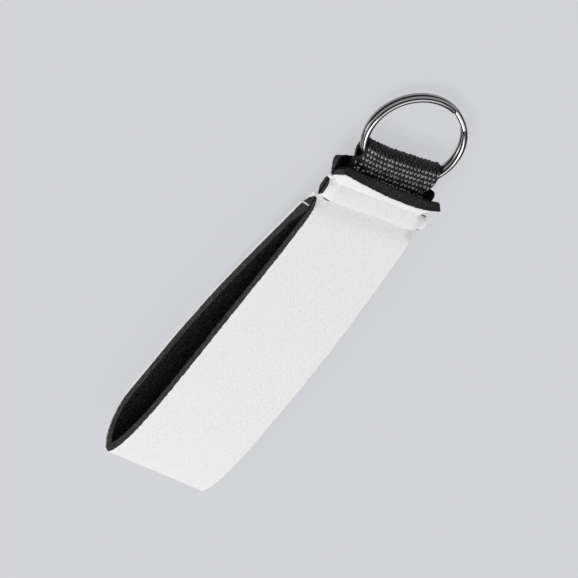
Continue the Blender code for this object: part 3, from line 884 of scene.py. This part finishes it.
class WRISTLET_OT_stitching(Operator):
    """Make the two rows of stitches, the knit tucked round their ends and the loose thread"""
    bl_idname = "wristlet.stitching"
    bl_label = "Stitching"

    def execute(self, context):
        settings = context.scene.wristlet_stitching
        thread = thread_material(settings)
        knit = bpy.data.materials["white_jersey_knit"]
        self.add_rows(settings, thread)
        self.add_tucks(knit)
        self.add_puckers()
        bar = smooth_route(seam_points(*in_metres(THREAD_BAR_MM)))
        thickness = np.full(len(bar), settings.thread_diameter * STITCH_FLATNESS)
        self.finish(loose_tube("thread_end", bar, thickness), thread)
        return {"FINISHED"}

    def finish(self, piece, material=None):
        if material:
            piece.data.materials.append(material)
        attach(piece, "band")

    def add_rows(self, settings, thread):
        places, facing, lay, sizes = [], [], [], []
        count = int(SEAM_WIDTH / settings.stitch_length)
        starts = (np.arange(count) + 0.5) * SEAM_WIDTH / count - SEAM_HALF_WIDTH
        size = (SEAM_WIDTH / count * STITCH_SHARE, settings.thread_diameter,
                settings.thread_diameter * STITCH_FLATNESS)
        half = size[0] / 2
        for along, layer in ((0.0, LOWER_STITCHED_LAYER), (ROW_SPACING, UPPER_STITCHED_LAYER)):
            for side in (1.0, -1.0):
                for across in starts:
                    height = float(pocket_half_height(along, across) + layer * pinched(across, 0.0, 1.0))
                    low, middle, high = seam_points(*((across + shift, along, side * height)
                                                      for shift in (-half, 0.0, half)))
                    places.append(middle)
                    facing.append((0.0, math.sin(SEAM_DIP) * side, math.cos(SEAM_DIP) * side))
                    lay.append(high - low)
                    sizes.append(size)
        self.finish(scatter("stitch_rows", places, facing, lay, sizes, pebble("stitch"), thread,
                            STITCH_SEED, STITCH_SPREAD))

    def add_tucks(self, knit):
        """Knit drawn round the strip's cut edges where the rows end."""
        turn = np.linspace(-0.5, 0.5, 13) * math.pi
        for name, place in TUCKS_MM.items():
            across, along, half_height, radius = (value * MM for value in place)
            inward = -math.copysign(TUCK_DEPTH, across)
            route = seam_points(*((across + inward * (1 - math.cos(angle)), along,
                                   half_height * math.sin(angle)) for angle in turn))
            self.finish(loose_tube(name, route, radius * mix(1.0, np.cos(turn), TUCK_TAPER)), knit)
        outline = loop_faces()[0]
        under = outline[:, 1] < TIP_HEIGHT
        under &= np.arange(len(outline)) > np.argmin(outline[:, 0])
        hem = placed(outline[under], -SEAM_HALF_WIDTH - HEM_RADIUS)[::4]
        hem[:, 2] = np.maximum(hem[:, 2], HEM_RADIUS)
        self.finish(loose_tube("back_hem", hem, np.full(len(hem), HEM_RADIUS)), knit)
        hook = smooth_route(seam_points(*in_metres(HEM_HOOK_MM)))
        taper = np.linspace(*HOOK_TAPER, len(hook))
        self.finish(loose_tube("hem_hook", hook, taper * HEM_RADIUS), knit)

    def add_puckers(self):
        """Grey tubes of painted shade, for the small folds that the rows draw into the knit near the cut
        edges.
        """
        shaded = Finish("knit_in_shade")
        # Painted shade: one flat grey material stands in for the shadow in every fold
        shaded.shade(base_color=PAINTED_SHADE_GREY, roughness=1.0)
        for name, (radius, *triples) in PUCKERS_MM.items():
            route = smooth_route(seam_points(*in_metres(triples)))
            taper = np.sin(np.linspace(*PUCKER_ARC, len(route))) ** PUCKER_POWER
            self.finish(loose_tube(name, route, radius * MM * taper), shaded.material)


class WRISTLET_OT_ring(Operator):
    """Make the split ring: two turns of one plated wire with rounded ends"""
    bl_idname = "wristlet.ring"
    bl_label = "Split ring"

    def execute(self, context):
        settings = context.scene.wristlet_ring
        total = 4 * math.pi - CROSSING_ANGLE
        single_turn = 2 * math.pi - CROSSING_ANGLE
        turned = np.linspace(0.0, total, WIRE_STATIONS)
        rise = smoothstep((turned - single_turn) / CROSSING_ANGLE)
        angle = CROSSING_START - turned
        across, along = np.cos(angle), np.sin(angle)
        centre_yz = seam_yz(RING_CENTRE + RING_RADIUS * along, mix(-TURN_OFFSET, TURN_OFFSET, rise))
        centre = np.column_stack([RING_RADIUS * across, centre_yz])
        radial = np.column_stack([across, along * math.cos(SEAM_DIP), -along * math.sin(SEAM_DIP)])
        normal = np.tile((0.0, math.sin(SEAM_DIP), math.cos(SEAM_DIP)), (len(radial), 1))
        from_end = np.minimum(turned, total - turned) * RING_RADIUS
        rounding = np.clip(from_end / WIRE_END_RUN, 0.0, 1.0) ** 0.5
        radius = WIRE_RADIUS * mix(WIRE_END_SHARE, 1.0, rounding)
        lift = np.array(Quaternion((1.0, 0.0, 0.0), RING_LIFT).to_matrix())
        points = rings_round(centre, radius, radial, normal, WIRE_SIDES)
        ring = tube_object("nickel_ring", (points - SWING) @ lift.T + SWING)
        ring.data.materials.append(steel_material(settings))
        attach(ring, "ring")
        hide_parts("split_ring")
        return {"FINISHED"}


def ply_half_gap(along, across):
    """Half of the gap between the webbing's plies, which open to pass round the ring's wire."""
    wire_edge = RING_CENTRE - np.sqrt(RING_OUTER_RADIUS ** 2 - across ** 2)
    opened = smoothstep((along - wire_edge + CLEARANCE + PLY_RAMP) / PLY_RAMP)
    return mix(SEAM_SLIT / 2, FOLD_INNER_RADIUS, opened)


def webbing_path(share, steps=60):
    """Inner face of the folded webbing in the seam's frame, as across, along and out."""
    start = ROW_SPACING - WEBBING_TUCK
    sag = 1.0 - ((share - FOLD_SAG_CENTRE) / (1.0 - FOLD_SAG_CENTRE * share)) ** 2
    fold_centre = WEBBING_REACH - WEBBING_FOLD_SAG * sag - FOLD_LEFT_DROP * (1.0 - share) / 2
    along = np.linspace(start, fold_centre, steps)
    narrowed = smoothstep((along - ROW_SPACING) / (WEBBING_REACH - ROW_SPACING))
    across = share * mix(WEBBING_WIDTH / 2, FOLD_HALF_WIDTH, narrowed)
    front = np.column_stack([across, along, ply_half_gap(along, across)])
    angle = math.pi * (0.5 - np.linspace(0.0, 1.0, FOLD_STEPS)[1:-1])
    fold = np.column_stack([np.full(len(angle), share * FOLD_HALF_WIDTH),
                            fold_centre + FOLD_INNER_RADIUS * np.cos(angle),
                            FOLD_INNER_RADIUS * np.sin(angle)])
    return np.vstack([front, fold, front[::-1] * (1, 1, -1)])


class WRISTLET_OT_webbing(Operator):
    """Make the webbing tab: a woven strip folded round the ring"""
    bl_idname = "wristlet.webbing"
    bl_label = "Webbing tab"

    def execute(self, context):
        settings = context.scene.wristlet_webbing
        shares = np.linspace(-1.0, 1.0, WEBBING_COLUMNS)
        inner, outer = [], []
        for share in shares:
            path = webbing_path(share)
            raised = path.copy()
            raised[:, 1:] += left_normals(path[:, 1:]) * WEBBING_THICKNESS
            for store, points in ((inner, path), (outer, raised)):
                store.append(np.column_stack([points[:, 0], seam_yz(points[:, 1], points[:, 2])]))
        inner, outer = np.array(inner), np.array(outer)
        run = run_along(outer[len(shares) // 2])
        tab = shell_object("webbing_base", outer, inner, shares * WEBBING_WIDTH / 2, run)
        tab.data.materials.append(yarn_material(settings, "black_ground_weave", 1.0))
        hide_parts("webbing_tab")
        grains = self.make_grains(settings, outer, run)
        for piece in (tab, *grains):
            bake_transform(piece)
        return {"FINISHED"}

    def make_grains(self, settings, outer, run):
        """Raised yarns in rows: pairs that make a V on the plies, slanting singles on the fold."""
        pitch = settings.row_pitch
        middle = run[-1] / 2
        row_places = [middle + sign * (FOLD_ROWS + pitch * row) for sign in (-1, 1)
                      for row in range(int((middle - FOLD_ROWS - WEBBING_TUCK) / pitch))]
        fold_reach = FOLD_ROWS - pitch * FOLD_ROW_MARGIN
        row_places += [middle + place for place in np.linspace(-fold_reach, fold_reach, FOLD_ROW_COUNT)]
        groups = {False: ([], [], [], []), True: ([], [], [], [])}
        widths = np.linspace(-1.0, 1.0, len(outer))
        for row, place in enumerate(row_places):
            on_fold = bool(abs(place - middle) < FOLD_ROWS - pitch / 2)
            places, facing, lay, sizes = groups[on_fold]
            size = FOLD_GRAIN if on_fold else PLY_GRAIN
            strokes = (YARN_SLANT * (1 if row % 2 else -1),) if on_fold else (-YARN_SLANT, YARN_SLANT)
            count = settings.yarns_across - row % 2
            station = float(np.interp(place, run, np.arange(len(run))))
            low = int(station)
            for column in (np.arange(count) - (count - 1) / 2) * 2 / settings.yarns_across:
                share = float(np.interp(column, widths, np.arange(len(outer))))
                left = min(int(share), len(outer) - 2)
                corner = outer[left:left + 2, low:low + 2]
                weights = np.outer((1 - share + left, share - left), (1 - station + low, station - low))
                point = (corner * weights[:, :, None]).sum((0, 1))
                along = corner[0, 1] - corner[0, 0]
                sideways = corner[1, 0] - corner[0, 0]
                normal = unit(np.cross(along, sideways))
                normal *= math.copysign(1.0, normal @ outward_of(point))
                along, sideways = unit(along), unit(sideways)
                for slant in strokes:
                    spread = (len(strokes) - 1) * math.sin(slant) * size[0] / 2
                    places.append(point + normal * GRAIN_SINK + sideways * spread)
                    facing.append(normal)
                    lay.append(along * math.cos(slant) + sideways * math.sin(slant))
                    sizes.append(size)
        made = []
        # Lit and shaded copies of one yarn: the ply yarns carry a strong painted highlight, and the fold
        # yarns a weak one as painted shade
        for group, name, brightness in ((groups[False], "ply_yarns", settings.yarn_gloss),
                                        (groups[True], "fold_yarns", settings.fold_gloss)):
            material = yarn_material(settings, "black_" + name, brightness)
            made.append(scatter(name, *group, pebble(name + "_grain"), material, GRAIN_SEED,
                                GRAIN_SPREAD))
        return made


def outward_of(point):
    """Direction from the middle of the webbing's fold or plane to a point on its surface."""
    along = float(np.dot(point[1:] - seam_yz(0.0, 0.0), (math.cos(SEAM_DIP), -math.sin(SEAM_DIP))))
    core = seam_yz(min(along, WEBBING_REACH - WEBBING_FOLD_SAG), 0.0)
    return np.array([0.0, point[1] - core[0], point[2] - core[1]])


class WRISTLET_OT_stage(Operator):
    """Make the floor, the lamps, the world and the camera"""
    bl_idname = "wristlet.stage"
    bl_label = "Studio stage"

    def execute(self, context):
        settings = context.scene.wristlet_stage
        scene = context.scene
        scene.view_settings.view_transform = "Standard"
        self.add_floor(settings)
        self.add_world(scene, settings)
        for name, (place, size, share, mirrored) in LAMPS.items():
            self.add_lamp(name, place, size, settings.key_power * share, mirrored)
        self.add_camera(scene, settings)
        return {"FINISHED"}

    def add_floor(self, settings):
        mesh = bpy.data.meshes.new("studio_floor")
        corners = ((-1, -1), (1, -1), (1, 1), (-1, 1))
        mesh.from_pydata([(x * FLOOR_REACH, y * FLOOR_REACH, 0) for x, y in corners], [], [(0, 1, 2, 3)])
        nodes = Finish("pale_floor")
        nodes.shade(base_color=settings.floor_colour, roughness=0.95, specular_ior_level=0.1)
        path = nodes.add("ShaderNodeLightPath").outputs
        seen = nodes.maths("MAXIMUM", path["Is Camera Ray"], path["Is Glossy Ray"])
        glow = nodes.add("ShaderNodeEmission", {"Color": (*settings.floor_colour, 1.0)}).outputs[0]
        shown = nodes.maths("MULTIPLY", seen, settings.floor_evenness)
        mixed = nodes.add("ShaderNodeMixShader", {0: shown, 1: nodes.shader.outputs[0], 2: glow}).outputs[0]
        nodes.tree.links.new(mixed, nodes.tree.nodes["Material Output"].inputs["Surface"])
        mesh.materials.append(nodes.material)
        linked("studio_floor", mesh)

    def add_world(self, scene, settings):
        """Even light all round; mirrors see a dark studio with a soft light overhead."""
        world = bpy.data.worlds.new("soft_studio")
        scene.world = world
        world.use_nodes = True
        nodes = Nodes(world.node_tree)
        even = nodes.tree.nodes["Background"]
        even.inputs["Color"].default_value = (*WHITE, 1.0)
        even.inputs["Strength"].default_value = settings.world_strength
        looking = nodes.add("ShaderNodeTexCoord").outputs["Generated"]
        nearness = nodes.add("ShaderNodeVectorMath", {
            0: looking, 1: OVERHEAD_LIGHT}, operation="DOT_PRODUCT").outputs["Value"]
        bands = nodes.ramp(nearness, [(place, (level,) * 3) for place, level in STUDIO_BANDS])
        studio = nodes.add("ShaderNodeBackground", {"Color": bands})
        backdrop = nodes.add("ShaderNodeBackground", {"Color": (*settings.floor_colour, 1.0)})
        path = nodes.add("ShaderNodeLightPath").outputs
        mirrored = nodes.add("ShaderNodeMixShader", {
            0: path["Is Glossy Ray"], 1: even.outputs[0], 2: studio.outputs[0]})
        seen = nodes.add("ShaderNodeMixShader", {
            0: path["Is Camera Ray"], 1: mirrored.outputs[0], 2: backdrop.outputs[0]})
        nodes.tree.links.new(seen.outputs[0], nodes.tree.nodes["World Output"].inputs["Surface"])

    def add_lamp(self, name, place, size, power, mirrored):
        lamp = bpy.data.lights.new(name, "AREA")
        lamp.shape = "SQUARE"
        lamp.size = size
        lamp.energy = power
        made = linked(name, lamp)
        made.location = place
        made.visible_glossy = mirrored
        made.rotation_euler = (-Vector(place)).to_track_quat("-Z", "Y").to_euler()

    def add_camera(self, scene, settings):
        azimuth, elevation = settings.camera_azimuth, settings.camera_elevation
        level = math.cos(elevation)
        towards = Vector((level * math.cos(azimuth), level * math.sin(azimuth), math.sin(elevation)))
        turn = (-towards).to_track_quat("-Z", "Y") @ Quaternion((0.0, 0.0, 1.0), settings.camera_roll)
        right, up = turn @ Vector((1.0, 0.0, 0.0)), turn @ Vector((0.0, 1.0, 0.0))
        camera = bpy.data.cameras.new("photo_camera")
        camera.sensor_width = SENSOR_WIDTH
        camera.lens = settings.focal_length
        camera.clip_end = CAMERA_CLIP
        metres_per_pixel = settings.camera_distance * SENSOR_WIDTH / settings.focal_length / PHOTO_SIZE
        target = (up * ORIGIN_PIXEL[1] - right * ORIGIN_PIXEL[0]) * metres_per_pixel
        made = linked("photo_camera", camera)
        made.location = target + towards * settings.camera_distance
        made.rotation_mode = "QUATERNION"
        made.rotation_quaternion = turn
        scene.camera = made


class WRISTLET_PT_panel(Panel):
    """Lists the keychain's settings and makers"""
    bl_idname = "WRISTLET_PT_panel"
    bl_label = "Wristlet keychain"
    bl_space_type = "VIEW_3D"
    bl_region_type = "UI"
    bl_category = "Wristlet"

    def draw(self, context):
        for maker, settings in MAKERS:
            box = self.layout.box()
            box.operator(maker.bl_idname)
            if settings:
                group = getattr(context.scene, settings)
                for name in group.__annotations__:
                    box.prop(group, name)


MAKERS = (
    (WRISTLET_OT_stage, "wristlet_stage"),
    (WRISTLET_OT_neoprene, "wristlet_neoprene"),
    (WRISTLET_OT_stitching, "wristlet_stitching"),
    (WRISTLET_OT_webbing, "wristlet_webbing"),
    (WRISTLET_OT_ring, "wristlet_ring"),
)
SETTINGS = {
    "wristlet_neoprene": NeopreneSettings,
    "wristlet_stitching": StitchSettings,
    "wristlet_webbing": WebbingSettings,
    "wristlet_ring": RingSettings,
    "wristlet_stage": StageSettings,
}


def register():
    for group in SETTINGS.values():
        bpy.utils.register_class(group)
    for maker, _ in MAKERS:
        bpy.utils.register_class(maker)
    bpy.utils.register_class(WRISTLET_PT_panel)
    for name, group in SETTINGS.items():
        setattr(bpy.types.Scene, name, PointerProperty(type=group))


def unregister():
    for name in SETTINGS:
        delattr(bpy.types.Scene, name)
    bpy.utils.unregister_class(WRISTLET_PT_panel)
    for maker, _ in reversed(MAKERS):
        bpy.utils.unregister_class(maker)
    for group in SETTINGS.values():
        bpy.utils.unregister_class(group)


def main():
    register()
    bpy.ops.wristlet.stage()
    bpy.ops.wristlet.neoprene()
    bpy.ops.wristlet.stitching()
    bpy.ops.wristlet.webbing()
    bpy.ops.wristlet.ring()


if __name__ == "__main__":
    main()
